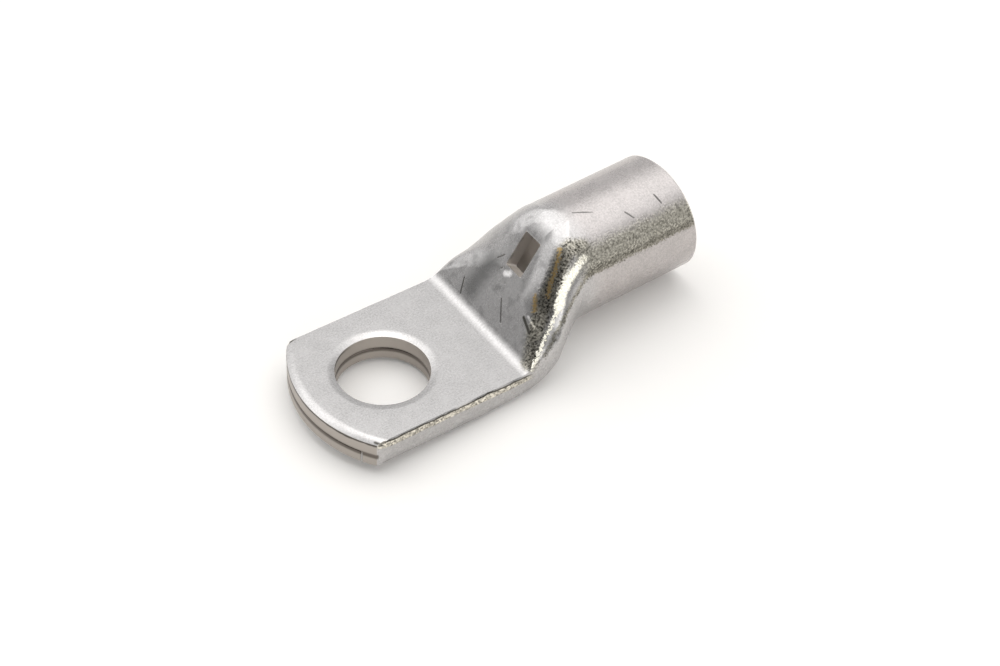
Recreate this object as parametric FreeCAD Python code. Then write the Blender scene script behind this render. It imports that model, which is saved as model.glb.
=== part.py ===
import FreeCAD, Part
import math
import os

from FreeCAD import Vector

# A ring cable lug made from one length of copper tube. One end stays round and takes the
# stripped cable. The other end is pressed flat into a palm with a hole for a stud. A punch
# leaves a sloping ramp between the two, and a small window in the ramp shows how far the
# cable has gone in.
# Lengths are in millimetres and angles in degrees. The origin is the middle of the stud
# hole on the palm's underside. +X runs along the lug to the barrel's mouth, and +Z runs up
# through the stud hole.

# Palm
stud_hole_diameter = 13.0
palm_width = 23.2
palm_thickness = 4.2
tip_reach = 12.0
tip_radius = 18.5
hole_roll_width = 1.2
hole_roll_depth = 0.3
tip_roll_width = 1.3
tip_roll_depth = 0.45
roll_start_slope = 6.0
corner_facet = 1.1

# The seam where the two pressed walls meet shows in the stud hole and across the tip, where
# it turns down short of the palm's sides.
seam_height = 1.75
seam_width = 0.24
seam_depth = 0.16
seam_end = 9.4

# Barrel
barrel_diameter = 17.0
barrel_wall = 2.0
mouth_reach = 46.1
barrel_lift = 2.35
barrel_tilt = 2.6
mouth_skew = 3.4
mouth_edge_break = 0.4
bore_lead_in = 0.5

# Ramp between them, with its window
bend_reach = 15.95
bend_radius = 2.2
ramp_angle = 55.0
crown_radius = 5.0
window_length = 5.5
window_width = 3.4
window_corner = 0.3
window_start = 9.0

# The pressed tube's free wall: how far it would stand proud of the pressed faces, and how
# square its sides are, 2 being a plain oval.
proud_above = 0.55
proud_below = 0.3
palm_squareness = 8.0
barrel_squareness = 2.0

# Where each part of the wall's section starts to change past the bend, and where it is
# round past the ramp's top. Ahead of either is negative.
side_start = 3.3
side_end = 1.8
middle_start = -0.6
middle_end = 2.1
top_start = -1.7
top_end = 1.5
shoulder_start = -1.7
shoulder_end = -4.5
belly_start = -12.0
belly_end = 1.6
underside_start = -8.0
underside_end = 1.5

samples_a_quarter = 8
station_spacing = 2.0
coarse_spacing = 3.0
turn_weight = 3.0
crown_clearance = 0.03
mandrel_step = 0.1
least_rise = 0.5
throat_start = bend_reach + 0.5
press_reach = 3.0
fine_steps = 90
overrun = 3.0
sweep_margin = 20.0

tilt = math.radians(barrel_tilt)
slope = math.radians(ramp_angle)
barrel_radius = barrel_diameter / 2
bore_radius = barrel_radius - barrel_wall
upright_radius = barrel_radius / math.cos(tilt)
axis_direction = Vector(math.cos(tilt), 0, math.sin(tilt))
uphill = Vector(math.cos(slope), 0, math.sin(slope))


def axis_height(x):
    """Height of the barrel's axis over the palm's underside."""
    return barrel_lift + upright_radius - (mouth_reach - x) * math.tan(tilt)


def meeting_point():
    """Where the ramp's line would meet the line along the barrel's top."""
    rise = axis_height(bend_reach) + upright_radius - palm_thickness
    run = rise / (math.tan(slope) - math.tan(tilt))
    return bend_reach + run, palm_thickness + run * math.tan(slope)


ramp_top_x, ramp_top_z = meeting_point()
bore_start = ramp_top_x + max(side_end, middle_end, top_end, belly_end, underside_end)
mouth_centre = Vector(mouth_reach, 0, axis_height(mouth_reach))
tip_centre = Vector(tip_radius - tip_reach, 0, 0)
tip_half_angle = math.asin(palm_width / 2 / tip_radius)


def blend(x, start, end, first, last):
    """A value that turns smoothly from first to last between two places along the lug."""
    share = min(max((x - start) / (end - start), 0.0), 1.0)
    share = share * share * (3 - 2 * share)
    return first + (last - first) * share


def turning(x, start, end, pressed, rounded):
    """A measure of the wall's section, which turns from its pressed to its round value."""
    return blend(x, bend_reach + start, ramp_top_x + end, pressed, rounded)


def quarter(half_width, rise, squareness):
    """Points of a quarter of an oval from its side to its top.

    They are spread evenly by the way they go and the angle they turn through."""
    fine = []
    for step in range(fine_steps + 1):
        angle = math.pi / 2 * step / fine_steps
        across = half_width * abs(math.cos(angle)) ** (2 / squareness)
        up = rise * abs(math.sin(angle)) ** (2 / squareness)
        fine.append((across, up))
    reach = [0.0]
    heading = math.pi / 2
    for here, there in zip(fine, fine[1:]):
        turned_to = math.atan2(there[1] - here[1], there[0] - here[0])
        turn = abs(turned_to - heading)
        heading = turned_to
        reach.append(reach[-1] + math.dist(here, there) + turn_weight * turn)
    points = []
    step = 0
    for sample in range(samples_a_quarter):
        wanted = reach[-1] * sample / samples_a_quarter
        while reach[step + 1] < wanted:
            step += 1
        share = (wanted - reach[step]) / (reach[step + 1] - reach[step])
        here = fine[step]
        there = fine[step + 1]
        points.append((here[0] + (there[0] - here[0]) * share,
                       here[1] + (there[1] - here[1]) * share))
    points.append(fine[-1])
    return points


def section(x, inset):
    """The tube's outline across the lug at x, moved in by inset from its outer face."""
    axis = axis_height(x)
    half_width = turning(x, side_start, side_end, palm_width / 2, barrel_radius)
    middle = turning(x, middle_start, middle_end, palm_thickness / 2, axis)
    top = turning(x, top_start, top_end, palm_thickness + proud_above, axis + upright_radius)
    bottom = turning(x, underside_start, underside_end, -proud_below, axis - upright_radius)
    shoulder = turning(x, shoulder_start, shoulder_end, palm_squareness, barrel_squareness)
    belly = turning(x, belly_start, belly_end, palm_squareness, barrel_squareness)
    middle = max(middle, bottom + inset + least_rise)
    top = max(top, middle + inset + least_rise)
    upper = quarter(half_width - inset, top - inset - middle, shoulder)
    lower = quarter(half_width - inset, middle - bottom - inset, belly)
    loop = [(across, middle + up) for across, up in upper]
    loop += [(-across, middle + up) for across, up in reversed(upper[:-1])]
    loop += [(-across, middle - down) for across, down in lower[1:]]
    loop += [(across, middle - down) for across, down in reversed(lower[1:-1])]
    curve = Part.BSplineCurve()
    curve.interpolate(Points=[Vector(x, across, height) for across, height in loop],
                      PeriodicFlag=True)
    return Part.Wire(curve.toShape())


def stations(start, end, spacing):
    count = math.ceil((end - start) / spacing)
    return [start + (end - start) * step / count for step in range(count + 1)]


def tube_body():
    """The whole lug before the punch: a flattened tube that turns round along its length."""
    turn_start = bend_reach + belly_start
    places = stations(turn_start, bend_reach - press_reach, coarse_spacing)[:-1]
    places += stations(bend_reach - press_reach, bore_start, station_spacing)
    turn = Part.makeLoft([section(x, 0.0) for x in places], True, False)
    flat = Part.Face(section(turn_start, 0.0))
    flat = flat.extrude(Vector(-tip_reach - overrun - turn_start, 0, 0))
    round_end = Part.Face(section(bore_start, 0.0))
    along = (mouth_reach + overrun - bore_start) / axis_direction.x
    barrel = round_end.extrude(axis_direction * along)
    return turn.fuse([flat, barrel])


def bend_side(depth):
    """Side outline of what presses the palm and the ramp, as felt depth below their faces.

    It gives the edges from the tip to the ramp's foot and the point where the ramp starts."""
    far = -tip_reach - 2 * overrun
    shift = Vector(math.tan(slope / 2) * depth, 0, -depth)
    foot = Vector(bend_reach, 0, palm_thickness) + shift
    radius = bend_radius + depth
    lead = radius * math.tan(slope / 2)
    flat_stop = foot - Vector(lead, 0, 0)
    centre = flat_stop + Vector(0, 0, radius)
    middle = centre + Vector(math.sin(slope / 2), 0, -math.cos(slope / 2)) * radius
    ramp_start = foot + uphill * lead
    start = Vector(far, 0, foot.z)
    edges = [
        Part.LineSegment(start, flat_stop).toShape(),
        Part.Arc(flat_stop, middle, ramp_start).toShape(),
    ]
    return edges, start, ramp_start


def pressed_away(edges, start, end):
    """The space over a side outline, as wide as the lug and more."""
    high = ramp_top_z + 2 * barrel_radius
    over_end = Vector(end.x, 0, high)
    over_start = Vector(start.x, 0, high)
    edges = edges + [
        Part.LineSegment(end, over_end).toShape(),
        Part.LineSegment(over_end, over_start).toShape(),
        Part.LineSegment(over_start, start).toShape(),
    ]
    side = Part.Face(Part.Wire(edges))
    side.translate(Vector(0, -palm_width, 0))
    return side.extrude(Vector(0, 2 * palm_width, 0))


def punch():
    """What the punch presses down: the palm's top, the ramp and the rounded crown."""
    edges, start, ramp_start = bend_side(0.0)
    lead = crown_radius * math.tan((slope - tilt) / 2)
    top = Vector(ramp_top_x, 0, ramp_top_z + crown_clearance)
    ramp_stop = top - uphill * lead
    centre = ramp_stop + Vector(math.sin(slope), 0, -math.cos(slope)) * crown_radius
    half_way = (slope + tilt) / 2
    middle = centre + Vector(-math.sin(half_way), 0, math.cos(half_way)) * crown_radius
    crown_stop = centre + Vector(-math.sin(tilt), 0, math.cos(tilt)) * crown_radius
    edges.append(Part.LineSegment(ramp_start, ramp_stop).toShape())
    edges.append(Part.Arc(ramp_stop, middle, crown_stop).toShape())
    return pressed_away(edges, start, crown_stop)


def closed_walls():
    """Where the pressed upper wall fills the hollow, down to the palm's middle."""
    edges, start, ramp_start = bend_side(palm_thickness / 2)
    end = ramp_start + uphill * 2 * barrel_diameter
    edges.append(Part.LineSegment(ramp_start, end).toShape())
    return pressed_away(edges, start, end)


def throat():
    """The narrowing space under the ramp, where the tube's walls part."""
    inset = barrel_wall + mandrel_step
    places = stations(throat_start, bore_start + overrun / 2, station_spacing)
    space = Part.makeLoft([section(x, inset) for x in places], True, False)
    return space.cut(closed_walls())


def bore():
    """The cable's bore, sized by a mandrel that stops where the wall starts to turn."""
    end = Vector(bore_start, 0, axis_height(bore_start))
    length = (mouth_centre - end).Length + overrun
    return Part.makeCylinder(bore_radius, length, end, axis_direction)


def window():
    """The inspection window, cut square through the ramp's wall."""
    below = 1.5 * barrel_wall
    above = 0.5 * barrel_wall
    block = Part.makeBox(window_length, window_width, below + above)
    block.translate(Vector(0, -window_width / 2, -below))
    upright = [edge for edge in block.Edges if edge.BoundBox.ZLength > above]
    block = block.makeFillet(window_corner, upright)
    block.translate(Vector(window_start, 0, 0))
    block.rotate(Vector(0, 0, 0), Vector(0, 1, 0), -ramp_angle)
    block.translate(Vector(bend_reach, 0, palm_thickness))
    return block


def below_floor():
    """The space under the flat die that the palm is pressed on."""
    length = tip_reach + mouth_reach + 2 * overrun
    slab = Part.makeBox(length, 2 * palm_width, overrun)
    slab.translate(Vector(-tip_reach - 1.5 * overrun, -palm_width, -overrun))
    return slab


def beyond_tip():
    """What is cut off at the tip, to leave its shallow arc."""
    blank = Part.makeBox(tip_radius, 2 * palm_width, 2 * palm_thickness)
    blank.translate(Vector(-tip_reach - tip_radius / 2, -palm_width, -palm_thickness / 2))
    keep = Part.makeCylinder(tip_radius, 2 * palm_thickness,
                             Vector(tip_centre.x, 0, -palm_thickness / 2))
    return blank.cut(keep)


def past_corner(side):
    """What is taken off a corner of the tip, to leave a small upright facet. Side is 1 or -1."""
    facing = (math.pi / 2 + tip_half_angle) / 2
    depth = corner_facet / 2 * math.tan(math.pi / 2 - facing)
    outwards = Vector(-math.cos(facing), side * math.sin(facing), 0)
    corner = tip_centre + Vector(-tip_radius * math.cos(tip_half_angle), side * palm_width / 2, 0)
    block = Part.makeBox(overrun, 2 * overrun, 2 * palm_thickness)
    block.translate(Vector(0, -overrun, -palm_thickness / 2))
    block.rotate(Vector(0, 0, 0), Vector(0, 0, 1), math.degrees(math.atan2(outwards.y, outwards.x)))
    block.translate(corner - outwards * depth)
    return block


def swept(edges, centre, sweep):
    """What a closed outline ahead of an upright axis clears as it swings round that axis.

    It swings through sweep degrees, half of it to either side of the lug's middle."""
    face = Part.Face(Part.Wire(edges))
    face.rotate(centre, Vector(0, 0, 1), -sweep / 2)
    return face.revolve(centre, Vector(0, 0, 1), sweep)


def rolled_edge(edge_x, way, width, depth, centre, sweep):
    """What a blow presses down along an edge of the palm's top, which falls ever more steeply.

    Way is 1 where the top falls towards +X and -1 where it falls towards -X."""
    start = Vector(edge_x - way * width, 0, palm_thickness)
    chord_slope = math.atan2(depth, width)
    turn = 2 * (chord_slope - math.radians(roll_start_slope))
    radius = math.hypot(width, depth) / (2 * math.sin(turn / 2))
    beyond_edge = 1.5 * turn

    def along(angle):
        heading = math.radians(roll_start_slope) + angle / 2
        length = 2 * radius * math.sin(angle / 2)
        return start + Vector(way * length * math.cos(heading), 0, -length * math.sin(heading))

    end = along(beyond_edge)
    over_end = Vector(end.x, 0, palm_thickness + overrun)
    over_start = start + Vector(0, 0, overrun)
    return swept([Part.Arc(start, along(beyond_edge / 2), end).toShape(),
                  Part.LineSegment(end, over_end).toShape(),
                  Part.LineSegment(over_end, over_start).toShape(),
                  Part.LineSegment(over_start, start).toShape()], centre, sweep)


def seam(edge_x, way, centre, sweep):
    """The fine groove between the two pressed walls, where a cut lays them open."""
    floor = Vector(edge_x - way * seam_depth, 0, seam_height)
    lower = Vector(edge_x + way * seam_depth, 0, seam_height - seam_width)
    upper = Vector(edge_x + way * seam_depth, 0, seam_height + seam_width)
    return swept([Part.LineSegment(floor, lower).toShape(),
                  Part.LineSegment(lower, upper).toShape(),
                  Part.LineSegment(upper, floor).toShape()], centre, sweep)


def seam_turn(side):
    """The seam's end, which turns down to the palm's underside. Side is 1 or -1."""
    turn = math.asin(seam_end / tip_radius)
    foot = tip_centre + Vector(-tip_radius * math.cos(turn), side * seam_end, -overrun)
    return Part.makeCylinder(seam_depth, overrun + seam_height, foot)


def palm_details():
    """What is pressed and cut away along the palm's edges."""
    middle = Vector(0, 0, 0)
    hole_edge = -stud_hole_diameter / 2
    tip_sweep = math.degrees(2 * tip_half_angle) + sweep_margin
    seam_sweep = math.degrees(2 * math.asin(seam_end / tip_radius))
    return [
        rolled_edge(hole_edge, 1, hole_roll_width, hole_roll_depth, middle, 360),
        rolled_edge(-tip_reach, -1, tip_roll_width, tip_roll_depth, tip_centre, tip_sweep),
        seam(hole_edge, 1, middle, 360),
        seam(-tip_reach, -1, tip_centre, seam_sweep),
        seam_turn(1),
        seam_turn(-1),
        past_corner(1),
        past_corner(-1),
    ]


def turned(outline):
    """A round cut about the skewed line through the mouth's centre that the saw is square to.

    The outline gives places by their distance from that line and their depth into the mouth."""
    points = [mouth_centre + Vector(-depth, 0, radius) for radius, depth in outline]
    face = Part.Face(Part.makePolygon(points + points[:1]))
    cut = face.revolve(mouth_centre, Vector(1, 0, 0), 360)
    cut.rotate(mouth_centre, Vector(0, 1, 0), -barrel_tilt)
    cut.rotate(mouth_centre, Vector(0, 0, 1), mouth_skew)
    return cut


def beyond_mouth():
    """What is sawn off at the barrel's mouth, a little out of square, with its edge broken."""
    corner = barrel_radius - mouth_edge_break
    clear = barrel_radius + overrun
    depth = clear - corner
    return turned([(0, 0), (corner, 0), (clear, depth), (clear, -2 * overrun), (0, -2 * overrun)])


def bore_lead():
    """The cone at the mouth that guides the cable's strands into the bore."""
    wide = bore_radius + bore_lead_in
    return turned([(0, -overrun), (wide + overrun, -overrun), (0, wide)])


def cable_lug():
    """The whole lug: the tube's outside first, then what is hollow in it and its broken edges."""
    stud_hole = Part.makeCylinder(stud_hole_diameter / 2, 2 * palm_thickness,
                                  Vector(0, 0, -palm_thickness / 2))
    lug = tube_body()
    lug = lug.cut([punch(), below_floor(), beyond_mouth(), beyond_tip()])
    for space in (throat(), bore(), bore_lead(), window()):
        lug = lug.cut(space)
    return lug.cut([stud_hole] + palm_details())


lug = cable_lug()
if len(lug.Solids) != 1 or not lug.isValid():
    raise ValueError("the lug is not one sound solid")
os.makedirs("parts", exist_ok=True)
lug.Solids[0].exportStep("parts/cable_lug.step")
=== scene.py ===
"""A ring cable lug of tinned copper on a pale table, seen from above its palm."""
import math

import bpy
from mathutils import Matrix, Vector


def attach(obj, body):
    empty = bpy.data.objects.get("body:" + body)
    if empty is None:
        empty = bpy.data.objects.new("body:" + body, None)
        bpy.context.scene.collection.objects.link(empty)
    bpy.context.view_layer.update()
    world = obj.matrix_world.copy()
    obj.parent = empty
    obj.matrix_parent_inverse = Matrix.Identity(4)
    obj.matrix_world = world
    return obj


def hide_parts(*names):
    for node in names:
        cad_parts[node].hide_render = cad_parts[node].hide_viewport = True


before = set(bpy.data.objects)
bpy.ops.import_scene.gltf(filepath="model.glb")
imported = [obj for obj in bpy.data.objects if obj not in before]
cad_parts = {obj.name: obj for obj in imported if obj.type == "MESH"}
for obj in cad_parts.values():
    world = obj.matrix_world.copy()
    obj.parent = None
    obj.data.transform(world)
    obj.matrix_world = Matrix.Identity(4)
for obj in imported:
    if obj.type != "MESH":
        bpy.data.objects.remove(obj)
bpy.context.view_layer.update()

MM = 0.001

# The camera, fitted to the lug's outlines in the photograph: where it looks from, how far it
# stands from the stud hole, how far the hole sits off the picture's middle, and its lens
VIEW_AZIMUTH = math.radians(36.953)
VIEW_ELEVATION = math.radians(43.942)
VIEW_ROLL = math.radians(2.846)
VIEW_DISTANCE = 339.152 * MM
VIEW_ASIDE = -15.906 * MM
VIEW_UP = -7.84 * MM
LENS = 90.0
NEAREST_SEEN = 0.01
FARTHEST_SEEN = 20.0

# The lug rests on the heel of its palm and on the lowest point of its barrel's mouth, so the
# table is turned to touch both
PALM_HEEL = Vector((14.3, 0.0, 0.0)) * MM
MOUTH_FOOT = Vector((46.5, 0.0, 2.36)) * MM
TABLE_SIDE = 6.0
# How much paler the table looks than the light that it throws on the lug
TABLE_GLOW = 0.075

# The studio's dome: dim below one angle over the table, in degrees, and bright above another
DIM_BELOW = 32
BRIGHT_ABOVE = 62
DIM_DOME = 0.5
BRIGHT_DOME = 1.75
DARKEST = 0.14
# Soft round patches on the dome: the azimuth and elevation of the middle, how far from it the
# patch ends and how near it is full, all in degrees, and its strength, which is below 0 for
# shade. Light stands at the left beyond the lug and low behind it, shade round the camera
DOME_PATCHES = ((118, 34, 36, 14, 0.7), (60, 10, 50, 25, 0.35), (195, 36, 52, 26, -1.0),
                (232, 46, 30, 12, -1.2))
# A low white card just right of the camera, which shines along the lug's neck
CARD_PATCH = (246, 22, 22, 10, 1.7)

# The lamp nearly over the lug: its azimuth and elevation, the place that it faces, and how far
# from there it hangs
LAMP_BEARING = (70, 78)
LAMP_AIM = Vector((18, 0, 6)) * MM
LAMP_DISTANCE = 0.5
LAMP_SIDE = 0.2
LAMP_RADIANCE = 1.1


def deselect_all():
    if bpy.context.object and bpy.context.object.mode != "OBJECT":
        bpy.ops.object.mode_set(mode="OBJECT")
    bpy.ops.object.select_all(action="DESELECT")


def select_only(piece):
    deselect_all()
    piece.select_set(True)
    bpy.context.view_layer.objects.active = piece


def linear(colour):
    """An sRGB hex colour such as #C8C4BE as the linear values that shaders take."""
    values = [int(colour[place:place + 2], 16) / 255 for place in (1, 3, 5)]
    return [value / 12.92 if value <= 0.04045 else ((value + 0.055) / 1.055) ** 2.4
            for value in values] + [1.0]


def add_node(tree, kind, settings=None, links=None):
    """Adds a node. Settings are its own properties or its sockets' values, links its inputs."""
    node = tree.nodes.new(kind)
    for name, value in (settings or {}).items():
        if isinstance(name, str) and hasattr(node, name):
            setattr(node, name, value)
        else:
            node.inputs[name].default_value = value
    for name, source in (links or {}).items():
        tree.links.new(source, node.inputs[name])
    return node


def new_material(name):
    material = bpy.data.materials.new(name)
    material.use_nodes = True
    material.node_tree.nodes.clear()
    return material, material.node_tree


# Light, table and camera


def floor_directions():
    """The table's upward normal and its direction along the lug."""
    along = (MOUTH_FOOT - PALM_HEEL).normalized()
    return Vector((0, 1, 0)).cross(along) * -1, along


def white_card():
    """Matt white card. What looks at it, the camera or a gloss, sees it a little paler than it
    lights the lug, so that the table is plain white and keeps the lug's shadow."""
    material, tree = new_material("matt_white_card")
    card = add_node(tree, "ShaderNodeBsdfDiffuse", {"Color": linear("#FAF8F5")})
    rays = add_node(tree, "ShaderNodeLightPath").outputs
    seen = rays["Is Camera Ray"]
    for kind in ("Is Glossy Ray", "Is Transmission Ray"):
        seen = add_node(tree, "ShaderNodeMath", {"operation": "MAXIMUM"},
                        {0: seen, 1: rays[kind]}).outputs[0]
    paler = add_node(tree, "ShaderNodeMath", {"operation": "MULTIPLY", 1: TABLE_GLOW},
                     {0: seen})
    glow = add_node(tree, "ShaderNodeEmission", {"Color": linear("#FFFDFA")},
                    {"Strength": paler.outputs[0]})
    paired = add_node(tree, "ShaderNodeAddShader", links={0: card.outputs[0], 1: glow.outputs[0]})
    add_node(tree, "ShaderNodeOutputMaterial", links={"Surface": paired.outputs[0]})
    return material


def make_table():
    up, along = floor_directions()
    deselect_all()
    bpy.ops.mesh.primitive_plane_add(size=TABLE_SIDE)
    table = bpy.context.object
    table.name = "table"
    turn = Matrix((along, Vector((0, 1, 0)), up)).transposed().to_4x4()
    turn.translation = PALM_HEEL
    table.data.transform(turn)
    table.data.materials.append(white_card())


def bearing(azimuth, elevation):
    """The direction at azimuth, from +X towards +Y, and elevation, both in degrees."""
    azimuth = math.radians(azimuth)
    elevation = math.radians(elevation)
    return Vector((math.cos(elevation) * math.cos(azimuth),
                   math.cos(elevation) * math.sin(azimuth), math.sin(elevation)))


def add_patch(tree, way, so_far, patch):
    """Adds a soft round patch of light, or of shade, to the dome's light so far."""
    azimuth, elevation, reach, full, strength = patch
    near = add_node(tree, "ShaderNodeVectorMath",
                    {"operation": "DOT_PRODUCT", 1: bearing(azimuth, elevation)}, {0: way})
    fading = add_node(tree, "ShaderNodeMapRange",
                      {"interpolation_type": "SMOOTHSTEP", "To Min": 0.0, "To Max": strength,
                       "From Min": math.cos(math.radians(reach)),
                       "From Max": math.cos(math.radians(full))},
                      {"Value": near.outputs["Value"]})
    total = add_node(tree, "ShaderNodeMath", {"operation": "ADD"},
                     {0: so_far, 1: fading.outputs[0]})
    return total.outputs[0]


def make_room_light():
    """The studio: a dome that is brightest overhead, its patches, and the low white card."""
    up, _ = floor_directions()
    world = bpy.data.worlds.new("studio")
    bpy.context.scene.world = world
    world.use_nodes = True
    tree = world.node_tree
    tree.nodes.clear()
    way = add_node(tree, "ShaderNodeTexCoord").outputs["Generated"]
    height = add_node(tree, "ShaderNodeVectorMath", {"operation": "DOT_PRODUCT", 1: up},
                      {0: way})
    light = add_node(tree, "ShaderNodeMapRange",
                     {"interpolation_type": "SMOOTHSTEP", "To Min": DIM_DOME,
                      "To Max": BRIGHT_DOME, "From Min": math.sin(math.radians(DIM_BELOW)),
                      "From Max": math.sin(math.radians(BRIGHT_ABOVE))},
                     {"Value": height.outputs["Value"]}).outputs[0]
    for patch in DOME_PATCHES:
        light = add_patch(tree, way, light, patch)
    light = add_node(tree, "ShaderNodeMath", {"operation": "MAXIMUM", 1: DARKEST},
                     {0: light}).outputs[0]
    light = add_patch(tree, way, light, CARD_PATCH)
    glow = add_node(tree, "ShaderNodeBackground", {"Color": linear("#FFFFFF")},
                    {"Strength": light})
    add_node(tree, "ShaderNodeOutputWorld", links={"Surface": glow.outputs[0]})


def make_lamp():
    """A soft square lamp nearly overhead, which gives the lug its soft shadow."""
    towards = bearing(*LAMP_BEARING)
    light = bpy.data.lights.new("overhead", "AREA")
    light.shape = "RECTANGLE"
    light.size = LAMP_SIDE
    light.size_y = LAMP_SIDE
    light.energy = LAMP_RADIANCE * math.pi * LAMP_SIDE ** 2
    light.color = linear("#FFFAF6")[:3]
    lamp = bpy.data.objects.new("overhead", light)
    lamp.location = LAMP_AIM + towards * LAMP_DISTANCE
    lamp.rotation_euler = towards.to_track_quat("Z", "Y").to_euler()
    bpy.context.collection.objects.link(lamp)


def make_camera():
    across = Vector((math.cos(VIEW_AZIMUTH), -math.sin(VIEW_AZIMUTH), 0))
    back = Vector((-math.sin(VIEW_AZIMUTH) * math.cos(VIEW_ELEVATION),
                   -math.cos(VIEW_AZIMUTH) * math.cos(VIEW_ELEVATION),
                   math.sin(VIEW_ELEVATION)))
    up = back.cross(across)
    right = across * math.cos(VIEW_ROLL) + up * math.sin(VIEW_ROLL)
    top = up * math.cos(VIEW_ROLL) - across * math.sin(VIEW_ROLL)
    place = Matrix((right, top, back)).transposed().to_4x4()
    place.translation = back * VIEW_DISTANCE - right * VIEW_ASIDE - top * VIEW_UP
    camera = bpy.data.cameras.new("camera")
    camera.lens = LENS
    camera.clip_start = NEAREST_SEEN
    camera.clip_end = FARTHEST_SEEN
    stand = bpy.data.objects.new("camera", camera)
    stand.matrix_world = place
    bpy.context.collection.objects.link(stand)
    bpy.context.scene.camera = stand


# The lug


# Its planes and axes: a place on each, in millimetres, and a direction
RAMP_FOOT = Vector((15.95, 0.0, 4.2))
RAMP_ANGLE = math.radians(55)
UP_RAMP = Vector((math.cos(RAMP_ANGLE), 0.0, math.sin(RAMP_ANGLE)))
OFF_RAMP = Vector((-math.sin(RAMP_ANGLE), 0.0, math.cos(RAMP_ANGLE)))
HOLE_MIDDLE = Vector((0.0, 0.0, 0.0))
TIP_ARC_MIDDLE = Vector((6.5, 0.0, 0.0))
UPRIGHT = Vector((0.0, 0.0, 1.0))
BARREL_MIDDLE = Vector((15.95, 0.0, 9.49))
ALONG_BARREL = Vector((0.99897, 0.0, 0.04536))
OVER_BARREL = Vector((-0.04536, 0.0, 0.99897))

# Limits of the skins that differ from plain plating, in millimetres. In each pair, a skin is
# gone at the first number and whole at the second
# The sheared walls: off the hole's and the tip arc's middles, up the lug, and along it
HOLE_WALL = (6.56, 6.52)
HOLE_WALL_TOP = (4.0, 3.8)
TIP_WALL = (18.44, 18.48)
TIP_WALL_TOP = (3.9, 3.7)
TIP_END = (0.0, -4.0)
TIP_LINE_FOOT = (3.35, 3.6)
# The window's walls, up the ramp and off the middle, and the tube's inside behind the ramp, whose
# paler tint is painted light
WINDOW_FOOT = (8.96, 9.0)
WINDOW_HEAD = (14.54, 14.5)
WINDOW_SIDE = (1.74, 1.7)
BORE_WALL = (7.3, 6.9)
BEHIND_RAMP = (-1.2, -1.6)
# The seam where the palm's two pressed walls meet, seen in the hole and on the tip
HOLE_SEAM = (7.2, 6.9)
TIP_SEAM = (18.3, 18.4)
SEAM_FOOT = (1.0, 1.45)
SEAM_HEAD = (2.2, 1.75)
# The grainy upper edge of the palm's sides, and the dark line over it, which is a painted dark
# reflection
PALM_SIDE = (11.1, 11.3)
PALM_SIDE_END = (17.0, 15.5)
EDGE_FOOT = (3.0, 3.2)
EDGE_HEAD = (4.0, 3.9)
EDGE_LINE_FOOT = (3.83, 3.93)
EDGE_LINE_HEAD = (4.13, 4.03)
# The grainy band of the barrel's near side, along the lug, off its middle and over the
# barrel's axis, and the dark line at the band's foot, which is a painted dark reflection
BAND_START = (26.0, 29.0)
BAND_SIDE = (0.0, -2.0)
BAND_FOOT = (2.9, 3.6)
BAND_HEAD = (6.9, 5.5)
BAND_LINE_FOOT = (2.9, 3.3)
BAND_LINE_HEAD = (4.3, 3.7)
# The clouded ramp, off its plane and along the lug
RAMP_UNDER = (-0.6, -0.3)
RAMP_OVER = (0.6, 0.3)
CLOUDS_START = (15.9, 16.6)
CLOUDS_END = (27.0, 25.0)
# Where the shine beside the window grows, up the lug, and where the barrel's greys turn warmer,
# which is painted warm light
SHINE_RISE = (8.0, 13.5)
BARREL_START = (27.0, 31.0)

# Strokes over the skin, in millimetres. Each is the places that it runs through, then how far
# off them it ends and how near them it is whole
# The ridge down the neck's near side, with a painted highlight along it
RIDGE_HIGHLIGHT = ((((28.0, -6.5, 15.5), (26.6, -7.0, 14.8), (25.0, -7.4, 13.8), (23.6, -7.9, 12.5),
           (22.5, -8.6, 11.0)), 1.1, 0.3),
         (((22.5, -8.6, 11.0), (21.1, -9.3, 9.3), (19.5, -10.0, 8.0), (18.0, -10.7, 6.4),
           (16.4, -11.3, 4.7)), 0.45, 0.1))
# The creased skin inside the ridge, darkened as painted shade, and the ragged line of specks
# outside it, also darkened as painted shade
CREASES_AND_SHADE = ((((28.4, -5.6, 16.6), (26.7, -5.0, 16.9), (25.7, -5.1, 16.3), (24.4, -5.9, 14.8),
             (23.0, -6.4, 13.1), (21.7, -6.8, 11.3), (20.4, -7.5, 9.7), (19.1, -8.3, 8.3),
             (17.9, -9.3, 6.9), (16.7, -10.4, 5.2)), 1.8, 0.7),)
SPECKS_AND_SHADE = ((((28.5, -7.7, 13.7), (26.9, -8.1, 12.7), (25.1, -8.7, 11.5), (23.5, -9.5, 10.3),
            (22.0, -10.0, 8.9), (20.7, -10.5, 7.7), (18.6, -11.2, 6.0)), 0.6, 0.0),)
# The shine on the ramp beside the window, and the arch over the window
SHINE = ((((25.8, -3.3, 17.3), (24.5, -3.1, 16.2), (23.5, -3.7, 14.9), (22.5, -4.1, 13.4),
           (21.4, -4.4, 11.8), (20.3, -4.6, 10.3), (19.3, -5.0, 8.9)), 1.8, 0.4),)
ARCH = ((((24.4, 3.5, 15.9), (25.5, 2.7, 17.2), (26.6, 1.6, 18.2), (27.6, 0.7, 18.5),
          (27.9, -0.7, 18.5), (27.2, -2.2, 18.2), (26.3, -3.3, 17.6)), 1.5, 0.3),)
# Tan streaks along the crease at the ramp's near side
TAN = ((((25.5, -4.3, 16.6), (24.8, -4.9, 15.8), (23.7, -5.8, 14.2), (22.9, -6.1, 13.2),
         (22.0, -6.8, 11.7)), 0.45, 0.1),
       (((21.0, -5.3, 11.1), (20.1, -6.5, 9.7)), 0.45, 0.1))
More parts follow.
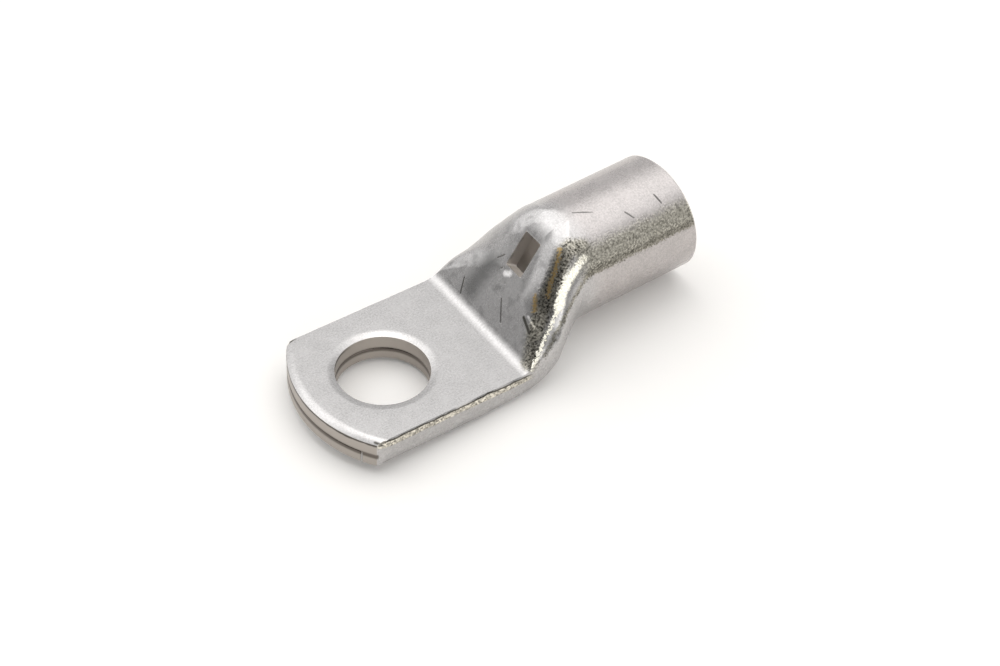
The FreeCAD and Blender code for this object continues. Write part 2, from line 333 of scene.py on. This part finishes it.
# Scratches on the ramp and on the barrel
SCRATCHES = [(ends, 0.15, 0.04) for ends in (
    ((17.8, 6.7, 6.9), (16.6, 5.8, 5.1)), ((18.8, -0.8, 8.2), (17.3, -2.8, 6.1)),
    ((30.0, -0.9, 18.65), (32.5, -2.2, 18.55)), ((36.6, -4.1, 17.95), (37.4, -5.1, 17.3)),
    ((41.8, -3.7, 18.4), (42.2, -5.1, 17.6)), ((21.0, 3.5, 11.4), (21.6, 2.7, 12.3)),
    ((20.6, 2.0, 10.8), (20.8, 1.8, 11.0)))]
# A nick at the ramp's near edge, with its lit lip, and painted shade in the nick and at a notch
# at the palm's near corner
NICK_LIP = ((((19.3, -6.2, 8.9), (19.1, -8.0, 8.4)), 0.26, 0.08),)
SHADE = ((((19.0, -5.7, 8.5), (18.4, -7.9, 7.6)), 0.35, 0.1),
         (((-8.2, -10.7, 4.0), (-7.6, -11.4, 3.7)), 0.3, 0.05))
# Painted shade, a grey patch on the ramp's far side, and the bright burr at the window's foot
RAMP_SHADE = ((((20.3, 4.3, 10.2), (17.6, 4.8, 6.6)), 2.8, 0.1),)
BURR = ((((20.55, 0.9, 10.75), (20.75, 0.3, 11.05)), 0.7, 0.1),)

# The plating's patterns: their size in millimetres, detail and roughness
PATCHES = (2.4, 3.0, 0.6)
GRAIN = (0.28, 1.0, 0.5)
CLOUDS = (1.7, 3.0, 0.6)
# The part of the grain's range that goes from its dark grains to its light ones, and of the
# clouds' from none to their thickest
GRAIN_SPAN = (0.3, 0.7)
CLOUD_SPAN = (0.5, 0.68)
THICKEST_CLOUD = 0.55
# How far the grain pushes a ragged outline about, and the patches an uneven one
RAGGED = 0.55
UNEVEN = 0.25
# How deep the grain is on smooth and on coarse skin, and a scratch, in millimetres
FINE_DEPTH = 0.004
COARSE_DEPTH = 0.035
SCRATCH_DEPTH = 0.05
# How much of the tone is fine sparkle, the rest being patches
SPARKLE = 0.42

# Skins of dark and light grains, laid on in this order, and plain tints laid over them. The
# ridge's pale grains are a painted highlight, the dark grains of the creases and the specks are
# painted shade, and those of the band's line a painted dark reflection. The window's tint is
# painted light; the tints of the ramp's far patch, the nick and the notch are painted shade, the
# edge's line a painted dark reflection, and the sheared walls' browner tint also paints their
# shade
SPECKLED_SKINS = (("band", "#8E8A7F", "#E8E3D5"), ("band_dark_reflection", "#65625A", "#A5A196"),
                  ("creases_and_shade", "#2F2D28", "#CAC5B8"), ("ridge_highlight", "#C3BFB0", "#DDDACF"),
                  ("specks_and_shade", "#4D4A43", "#A7A396"), ("edge", "#77736A", "#F2ECDE"))
TINTS = (("tan", "#D2B580"), ("sheared_and_shade", "#B1AAA3"), ("window_and_painted_light", "#E0DBD6"), ("seam", "#6D6660"),
         ("ramp_shade", "#8B8A89"), ("clouded", "#838281"), ("scratched", "#7B7976"),
         ("shade", "#5A5853"), ("edge_dark_reflection", "#615E58"), ("tip_line", "#5B5752"))
# How rough the plating is, from patch to patch, and the skins that differ from it
PLATING_ROUGHNESS = (0.22, 0.32)
ROUGHNESSES = (("creases_and_shade", 0.3), ("ridge_highlight", 0.2), ("sheared_and_shade", 0.42), ("window_and_painted_light", 0.5))
# Skins that catch the light: the way that each faces, and how far it is turned that way
TURNED_SKINS = (("ridge_highlight", (-0.415, -0.728, 0.549), 0.7), ("shine", (-0.62, 0.12, 0.775), 0.6),
                ("arch", (-0.479, 0.063, 0.875), 0.7), ("burr", (-0.479, 0.063, 0.875), 0.9))

MERGED_WITHIN = 0.004 * MM
SHARP_ANGLE = math.radians(32)


def from_plane(tree, place, middle, normal):
    """How far a place is over the plane through a middle."""
    there = add_node(tree, "ShaderNodeVectorMath", {"operation": "SUBTRACT", 1: middle * MM},
                     {0: place}).outputs[0]
    return add_node(tree, "ShaderNodeVectorMath", {"operation": "DOT_PRODUCT", 1: normal},
                    {0: there}).outputs["Value"]


def from_axis(tree, place, middle, along):
    """How far a place is from the axis through a middle."""
    there = add_node(tree, "ShaderNodeVectorMath", {"operation": "SUBTRACT", 1: middle * MM},
                     {0: place}).outputs[0]
    across = add_node(tree, "ShaderNodeVectorMath", {"operation": "CROSS_PRODUCT", 1: along},
                      {0: there}).outputs[0]
    return add_node(tree, "ShaderNodeVectorMath", {"operation": "LENGTH"},
                    {0: across}).outputs["Value"]


def within(tree, *regions, of=None):
    """The share of the lug's skin that is inside any of some regions, and inside another share
    where one is given. A region is a list of limits, each a measure and its pair of values."""
    total = None
    for region in regions:
        share = of
        for measure, (nothing, full) in region:
            limit = add_node(tree, "ShaderNodeMapRange",
                             {"interpolation_type": "SMOOTHSTEP", "From Min": nothing * MM,
                              "From Max": full * MM}, {"Value": measure}).outputs[0]
            if share is None:
                share = limit
            else:
                share = add_node(tree, "ShaderNodeMath", {"operation": "MULTIPLY"},
                                 {0: share, 1: limit}).outputs[0]
        if total is None:
            total = share
        else:
            total = add_node(tree, "ShaderNodeMath", {"operation": "MAXIMUM"},
                             {0: total, 1: share}).outputs[0]
    return total


def near_strokes(tree, place, strokes):
    """The share of the lug's skin that is near any of some strokes."""
    regions = []
    for path, reach, whole in strokes:
        for start, end in zip(path, path[1:]):
            start = Vector(start) * MM
            run = Vector(end) * MM - start
            there = add_node(tree, "ShaderNodeVectorMath", {"operation": "SUBTRACT", 1: start},
                             {0: place}).outputs[0]
            part = add_node(tree, "ShaderNodeVectorMath",
                            {"operation": "DOT_PRODUCT", 1: run / run.length_squared},
                            {0: there}).outputs["Value"]
            part = add_node(tree, "ShaderNodeClamp", links={"Value": part}).outputs[0]
            foot = add_node(tree, "ShaderNodeVectorMath", {"operation": "SCALE", 0: run},
                            {"Scale": part}).outputs[0]
            away = add_node(tree, "ShaderNodeVectorMath", {"operation": "DISTANCE"},
                            {0: there, 1: foot}).outputs["Value"]
            regions.append([(away, (reach, whole))])
    return within(tree, *regions)


def cut_skins(tree, place, axes, aside, height):
    """Where the punch and the shears cut the tube, with what is seen in the cuts. The sheared
    walls' tint also paints their shade, and the window's paler tint paints light in it.
    """
    hole = from_axis(tree, place, HOLE_MIDDLE, UPRIGHT)
    tip = from_axis(tree, place, TIP_ARC_MIDDLE, UPRIGHT)
    bore = from_axis(tree, place, BARREL_MIDDLE, ALONG_BARREL)
    climb = from_plane(tree, place, RAMP_FOOT, UP_RAMP)
    off_ramp = from_plane(tree, place, RAMP_FOOT, OFF_RAMP)
    at_tip = (axes["X"], TIP_END)
    at_seam = [(axes["Z"], SEAM_FOOT), (axes["Z"], SEAM_HEAD)]
    sheared_and_shade = within(tree, [(hole, HOLE_WALL), (axes["Z"], HOLE_WALL_TOP)],
                     [(tip, TIP_WALL), at_tip, (axes["Z"], TIP_WALL_TOP)])
    return {
        "sheared_and_shade": sheared_and_shade,
        "tip_line": within(tree, [(height, TIP_LINE_FOOT), at_tip], of=sheared_and_shade),
        "window_and_painted_light": within(tree,
                         [(climb, WINDOW_FOOT), (climb, WINDOW_HEAD), (aside, WINDOW_SIDE)],
                         [(bore, BORE_WALL), (off_ramp, BEHIND_RAMP)]),
        "seam": within(tree, [(hole, HOLE_SEAM), *at_seam],
                       [at_tip, (tip, TIP_SEAM), *at_seam]),
    }


def free_skins(tree, ragged, uneven, axes, aside, height):
    """Skin that no die touched: the upper edge of the palm's sides, and a band along the
    barrel's near side, each with a dark line along it that is a painted dark reflection."""
    ragged_axes = add_node(tree, "ShaderNodeSeparateXYZ", links={"Vector": ragged}).outputs
    rise = from_plane(tree, ragged, BARREL_MIDDLE, OVER_BARREL)
    rise = add_node(tree, "ShaderNodeMath", {"operation": "ADD"}, {0: rise, 1: uneven}).outputs[0]
    on_barrel = [(ragged_axes["X"], BAND_START), (ragged_axes["Y"], BAND_SIDE)]
    on_palm = [(aside, PALM_SIDE), (axes["X"], PALM_SIDE_END)]
    return {
        "band": within(tree, [*on_barrel, (rise, BAND_FOOT), (rise, BAND_HEAD)]),
        "band_dark_reflection": within(tree, [*on_barrel, (rise, BAND_LINE_FOOT), (rise, BAND_LINE_HEAD)]),
        "edge": within(tree, [*on_palm, (height, EDGE_FOOT), (height, EDGE_HEAD)]),
        "edge_dark_reflection": within(tree, [*on_palm, (height, EDGE_LINE_FOOT), (height, EDGE_LINE_HEAD)]),
    }


def clouded_ramp(tree, place, clouds, axes):
    """Duller clouds in the ramp's plating."""
    off_ramp = from_plane(tree, place, RAMP_FOOT, OFF_RAMP)
    thick = add_node(tree, "ShaderNodeMapRange",
                     {"From Min": CLOUD_SPAN[0], "From Max": CLOUD_SPAN[1],
                      "To Max": THICKEST_CLOUD}, {"Value": clouds}).outputs[0]
    return within(tree, [(off_ramp, RAMP_UNDER), (off_ramp, RAMP_OVER),
                         (axes["X"], CLOUDS_START), (axes["X"], CLOUDS_END)], of=thick)


def stroked_skins(tree, place, ragged, axes):
    """The neck's ridge, creases and shine, and the small marks of use, with a painted highlight
    on the ridge and painted shade in the creases, beside the ridge, on the ramp's far side, in
    the nick and at the corner notch.
    """
    skins = {name: near_strokes(tree, ragged, strokes) for name, strokes in (
        ("ridge_highlight", RIDGE_HIGHLIGHT), ("creases_and_shade", CREASES_AND_SHADE), ("specks_and_shade", SPECKS_AND_SHADE), ("tan", TAN),
        ("ramp_shade", RAMP_SHADE))}
    skins.update({name: near_strokes(tree, place, strokes) for name, strokes in (
        ("arch", ARCH), ("burr", BURR), ("shade", SHADE), ("scratched", SCRATCHES))})
    shine = within(tree, [(axes["Z"], SHINE_RISE)], of=near_strokes(tree, place, SHINE))
    lip = near_strokes(tree, place, NICK_LIP)
    skins["shine"] = add_node(tree, "ShaderNodeMath", {"operation": "MAXIMUM"},
                              {0: shine, 1: lip}).outputs[0]
    return skins


def layered_colour(tree, skins, tone, speckle, on_barrel):
    """The plating's greys, painted warmer on the barrel as warm light, with the other skins laid
    over them.
    """
    greys, warm_lit_greys = [
        add_node(tree, "ShaderNodeMix",
                 {"data_type": "RGBA", 6: linear(darker), 7: linear(lighter)},
                 {0: tone}).outputs[2]
        for darker, lighter in (("#A8A6A5", "#CCCAC9"), ("#A39F9D", "#CCC6C4"))]
    colour = add_node(tree, "ShaderNodeMix", {"data_type": "RGBA"},
                      {0: on_barrel, 6: greys, 7: warm_lit_greys}).outputs[2]
    for name, darker, lighter in SPECKLED_SKINS:
        speckled = add_node(tree, "ShaderNodeMix",
                            {"data_type": "RGBA", 6: linear(darker), 7: linear(lighter)},
                            {0: speckle}).outputs[2]
        colour = add_node(tree, "ShaderNodeMix", {"data_type": "RGBA"},
                          {0: skins[name], 6: colour, 7: speckled}).outputs[2]
    for name, tint in TINTS:
        colour = add_node(tree, "ShaderNodeMix", {"data_type": "RGBA", 7: linear(tint)},
                          {0: skins[name], 6: colour}).outputs[2]
    return colour


def turned_facing(tree, skins, normal):
    """The way that the skin faces, turned where a hammered or rounded place catches the light."""
    facing = normal
    for name, way, strength in TURNED_SKINS:
        part = add_node(tree, "ShaderNodeMath", {"operation": "MULTIPLY", 1: strength},
                        {0: skins[name]}).outputs[0]
        facing = add_node(tree, "ShaderNodeMix", {"data_type": "VECTOR", 5: way},
                          {0: part, 4: facing}).outputs[1]
    facing = add_node(tree, "ShaderNodeVectorTransform",
                      {"vector_type": "NORMAL", "convert_from": "OBJECT", "convert_to": "WORLD"},
                      {"Vector": facing}).outputs[0]
    return add_node(tree, "ShaderNodeVectorMath", {"operation": "NORMALIZE"},
                    {0: facing}).outputs[0]


def relief(tree, skins, grain):
    """The grain, coarse on the creases, the band and the edges, and the scratches."""
    coarse = skins["creases_and_shade"]
    for name in ("band", "edge"):
        coarse = add_node(tree, "ShaderNodeMath", {"operation": "MAXIMUM"},
                          {0: coarse, 1: skins[name]}).outputs[0]
    depth = add_node(tree, "ShaderNodeMapRange", {"To Min": FINE_DEPTH, "To Max": COARSE_DEPTH},
                     {"Value": coarse}).outputs[0]
    height = add_node(tree, "ShaderNodeMath", {"operation": "MULTIPLY"},
                      {0: grain, 1: depth}).outputs[0]
    return add_node(tree, "ShaderNodeMath", {"operation": "MULTIPLY_ADD", 1: -SCRATCH_DEPTH},
                    {0: skins["scratched"], 2: height}).outputs[0]


def tinned_copper():
    """Bright-dipped tin plating over copper tube: a satin metal. The dies left it smooth with a
    fine sparkle, the free wall kept the speckled grain of bent copper, and the sheared faces
    are rougher and browner, with a darker tint that is painted shade. The grain is 0.3 mm, the
    mottling 1 to 3 mm."""
    material, tree = new_material("tinned_copper")
    skin = add_node(tree, "ShaderNodeTexCoord").outputs
    place = skin["Object"]
    axes = add_node(tree, "ShaderNodeSeparateXYZ", links={"Vector": place}).outputs
    patches, grain, clouds = [
        add_node(tree, "ShaderNodeTexNoise",
                 {"Scale": 1 / (size * MM), "Detail": detail, "Roughness": roughness},
                 {"Vector": place}).outputs
        for size, detail, roughness in (PATCHES, GRAIN, CLOUDS)]
    speckle = add_node(tree, "ShaderNodeMapRange",
                       {"From Min": GRAIN_SPAN[0], "From Max": GRAIN_SPAN[1]},
                       {"Value": grain["Fac"]}).outputs[0]
    tone = add_node(tree, "ShaderNodeMix", {"data_type": "FLOAT", 0: SPARKLE},
                    {2: patches["Fac"], 3: speckle}).outputs[0]
    ragged = add_node(tree, "ShaderNodeVectorMath",
                      {"operation": "MULTIPLY_ADD", 1: (2 * RAGGED * MM,) * 3,
                       2: (-RAGGED * MM,) * 3}, {0: grain["Color"]}).outputs[0]
    ragged = add_node(tree, "ShaderNodeVectorMath", {"operation": "ADD"},
                      {0: ragged, 1: place}).outputs[0]
    uneven = add_node(tree, "ShaderNodeMath",
                      {"operation": "MULTIPLY_ADD", 1: 2 * UNEVEN * MM, 2: -UNEVEN * MM},
                      {0: patches["Fac"]}).outputs[0]
    height = add_node(tree, "ShaderNodeMath", {"operation": "ADD"},
                      {0: axes["Z"], 1: uneven}).outputs[0]
    aside = add_node(tree, "ShaderNodeMath", {"operation": "ABSOLUTE"}, {0: axes["Y"]}).outputs[0]

    skins = {**cut_skins(tree, place, axes, aside, height),
             **free_skins(tree, ragged, uneven, axes, aside, height),
             **stroked_skins(tree, place, ragged, axes),
             "clouded": clouded_ramp(tree, place, clouds["Fac"], axes)}
    on_barrel = within(tree, [(axes["X"], BARREL_START)])
    colour = layered_colour(tree, skins, tone, speckle, on_barrel)
    roughness = add_node(tree, "ShaderNodeMapRange",
                         {"To Min": PLATING_ROUGHNESS[0], "To Max": PLATING_ROUGHNESS[1]},
                         {"Value": patches["Fac"]}).outputs[0]
    for name, value in ROUGHNESSES:
        roughness = add_node(tree, "ShaderNodeMix", {"data_type": "FLOAT", 3: value},
                             {0: skins[name], 2: roughness}).outputs[0]
    grooved = add_node(tree, "ShaderNodeBump", {"Strength": 1.0, "Distance": MM},
                       {"Height": relief(tree, skins, grain["Fac"]),
                        "Normal": turned_facing(tree, skins, skin["Normal"])})
    metal = add_node(tree, "ShaderNodeBsdfPrincipled", {"Metallic": 1.0},
                     {"Base Color": colour, "Roughness": roughness,
                      "Normal": grooved.outputs[0]})
    add_node(tree, "ShaderNodeOutputMaterial", links={"Surface": metal.outputs[0]})
    return material


def make_lug():
    """The lug's body: the solid's own skin, joined up and smoothed."""
    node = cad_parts["cable_lug"]
    select_only(node)
    bpy.ops.object.duplicate()
    lug = bpy.context.object
    lug.name = "lug_body"
    select_only(lug)
    bpy.ops.object.mode_set(mode="EDIT")
    bpy.ops.mesh.select_all(action="SELECT")
    bpy.ops.mesh.remove_doubles(threshold=MERGED_WITHIN, use_sharp_edge_from_normals=True)
    bpy.ops.object.mode_set(mode="OBJECT")
    bpy.ops.mesh.customdata_custom_splitnormals_clear()
    bpy.ops.object.shade_smooth_by_angle(angle=SHARP_ANGLE, keep_sharp_edges=True)
    bpy.ops.object.modifier_add(type="WEIGHTED_NORMAL")
    lug.modifiers[-1].keep_sharp = True
    bpy.ops.object.modifier_apply(modifier=lug.modifiers[-1].name)
    lug.data.materials.clear()
    lug.data.materials.append(tinned_copper())
    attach(lug, "root")
    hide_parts("cable_lug")


bpy.context.scene.view_settings.view_transform = "Standard"
make_table()
make_room_light()
make_lamp()
make_camera()
make_lug()
